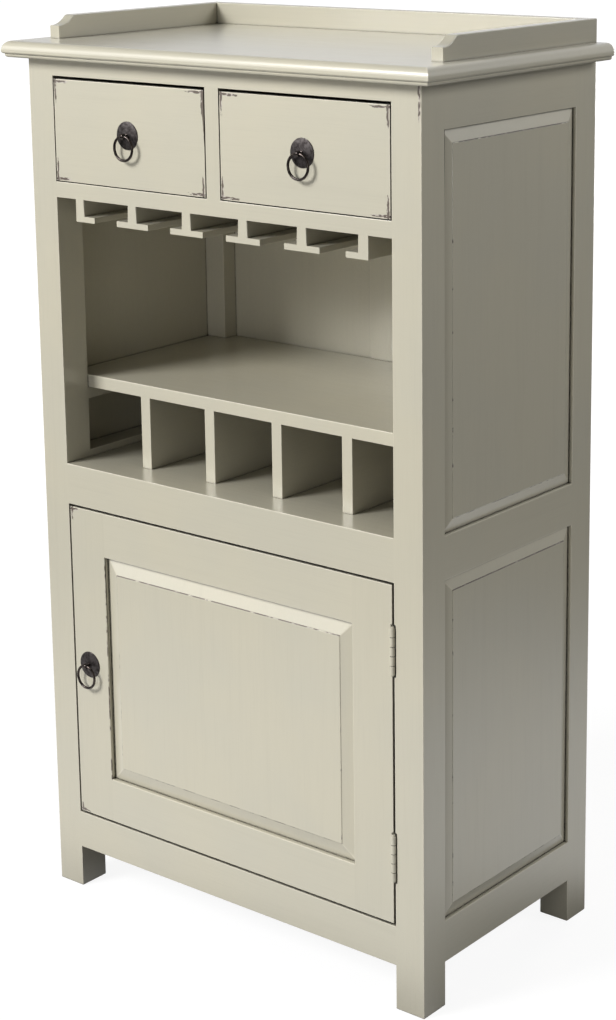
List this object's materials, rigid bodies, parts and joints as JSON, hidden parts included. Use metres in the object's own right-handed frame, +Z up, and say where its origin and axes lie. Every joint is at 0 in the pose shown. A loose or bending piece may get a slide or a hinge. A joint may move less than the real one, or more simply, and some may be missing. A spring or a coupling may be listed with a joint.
{
  "type": "wine cabinet",
  "caption": "Free-standing painted wooden wine cabinet with a rimmed top, ring-pull drawers, hanging stemware rack, bottle cubbies and a panelled cupboard door.",
  "frame": {"origin": "on the floor, at the middle of the overall box", "axes": "+Z up, front of the cabinet faces -Y, +X to the right seen from the front"},
  "size_m": [0.635, 0.357, 1.106],
  "materials": {
    "painted_wood": "sage-cream semi-gloss paint, rubbed through to dark wood at corners",
    "drawer_wood": "plain oiled hardwood",
    "pull_iron": "dark antique iron, softly worn",
    "painted_hinge": "painted over with the cabinet's paint",
    "catch_housing": "brown moulded housing",
    "catch_steel": "plain zinc-plated steel"
  },
  "bodies": {
    "carcass": {"front_left_post": "painted_wood", "front_right_post": "painted_wood", "back_left_post": "painted_wood", "back_right_post": "painted_wood", "top_board": "painted_wood", "gallery_left": "painted_wood", "gallery_right": "painted_wood", "gallery_back": "painted_wood", "front_top_rail": "painted_wood", "drawer_divider": "painted_wood", "drawer_rail": "painted_wood", "front_middle_rail": "painted_wood", "front_bottom_rail": "painted_wood", "left_top_rail": "painted_wood", "left_middle_rail": "painted_wood", "left_bottom_rail": "painted_wood", "left_upper_panel": "painted_wood", "left_lower_panel": "painted_wood", "right_top_rail": "painted_wood", "right_middle_rail": "painted_wood", "right_bottom_rail": "painted_wood", "right_upper_panel": "painted_wood", "right_lower_panel": "painted_wood", "back_rails": "painted_wood", "back_muntins": "painted_wood", "back_panels": "painted_wood", "drawer_deck": "painted_wood", "drawer_guides": "drawer_wood", "stemware_end_rails": "painted_wood", "stemware_rails": "painted_wood", "bottle_shelf": "painted_wood", "shelf_cleats": "painted_wood", "bottle_dividers": "painted_wood", "bottle_floor": "painted_wood", "floor_strips": "painted_wood", "cupboard_floor": "painted_wood", "hinge_frame_leaves": "painted_hinge", "hinge_pins": "painted_hinge", "door_catch": "catch_housing"},
    "door": {"door_latch_stile": "painted_wood", "door_hinge_stile": "painted_wood", "door_top_rail": "painted_wood", "door_bottom_rail": "painted_wood", "door_panel": "painted_wood", "hinge_door_leaves": "painted_hinge", "catch_plate": "catch_steel", "door_pull": "pull_iron"},
    "door_ring": {"door_ring": "pull_iron"},
    "left_drawer": {"left_drawer_front": "painted_wood", "left_drawer_sides": "drawer_wood", "left_drawer_back": "drawer_wood", "left_drawer_bottom": "drawer_wood", "left_drawer_pull": "pull_iron"},
    "left_drawer_ring": {"left_drawer_ring": "pull_iron"},
    "right_drawer": {"right_drawer_front": "painted_wood", "right_drawer_sides": "drawer_wood", "right_drawer_back": "drawer_wood", "right_drawer_bottom": "drawer_wood", "right_drawer_pull": "pull_iron"},
    "right_drawer_ring": {"right_drawer_ring": "pull_iron"}
  },
  "joints": [
    {"name": "left_drawer_slide", "type": "slide", "parent": "carcass", "child": "left_drawer", "axis": [0, -1, 0], "range_m": [0, 0.21]},
    {"name": "right_drawer_slide", "type": "slide", "parent": "carcass", "child": "right_drawer", "axis": [0, -1, 0], "range_m": [0, 0.21]},
    {"name": "door_swing", "type": "hinge", "parent": "carcass", "child": "door", "pos_m": [0.2517, -0.1585, 0.30665], "axis": [0, 0, 1], "range_deg": [0, 170]},
    {"name": "left_drawer_ring_swing", "type": "hinge", "parent": "left_drawer", "child": "left_drawer_ring", "pos_m": [-0.13175, -0.1653, 0.976], "axis": [-1, 0, 0], "range_deg": [-9, 160]},
    {"name": "right_drawer_ring_swing", "type": "hinge", "parent": "right_drawer", "child": "right_drawer_ring", "pos_m": [0.13175, -0.1653, 0.976], "axis": [-1, 0, 0], "range_deg": [-9, 160]},
    {"name": "door_ring_swing", "type": "hinge", "parent": "door", "child": "door_ring", "pos_m": [-0.2254, -0.1653, 0.30665], "axis": [-1, 0, 0], "range_deg": [-9, 160]}
  ]
}
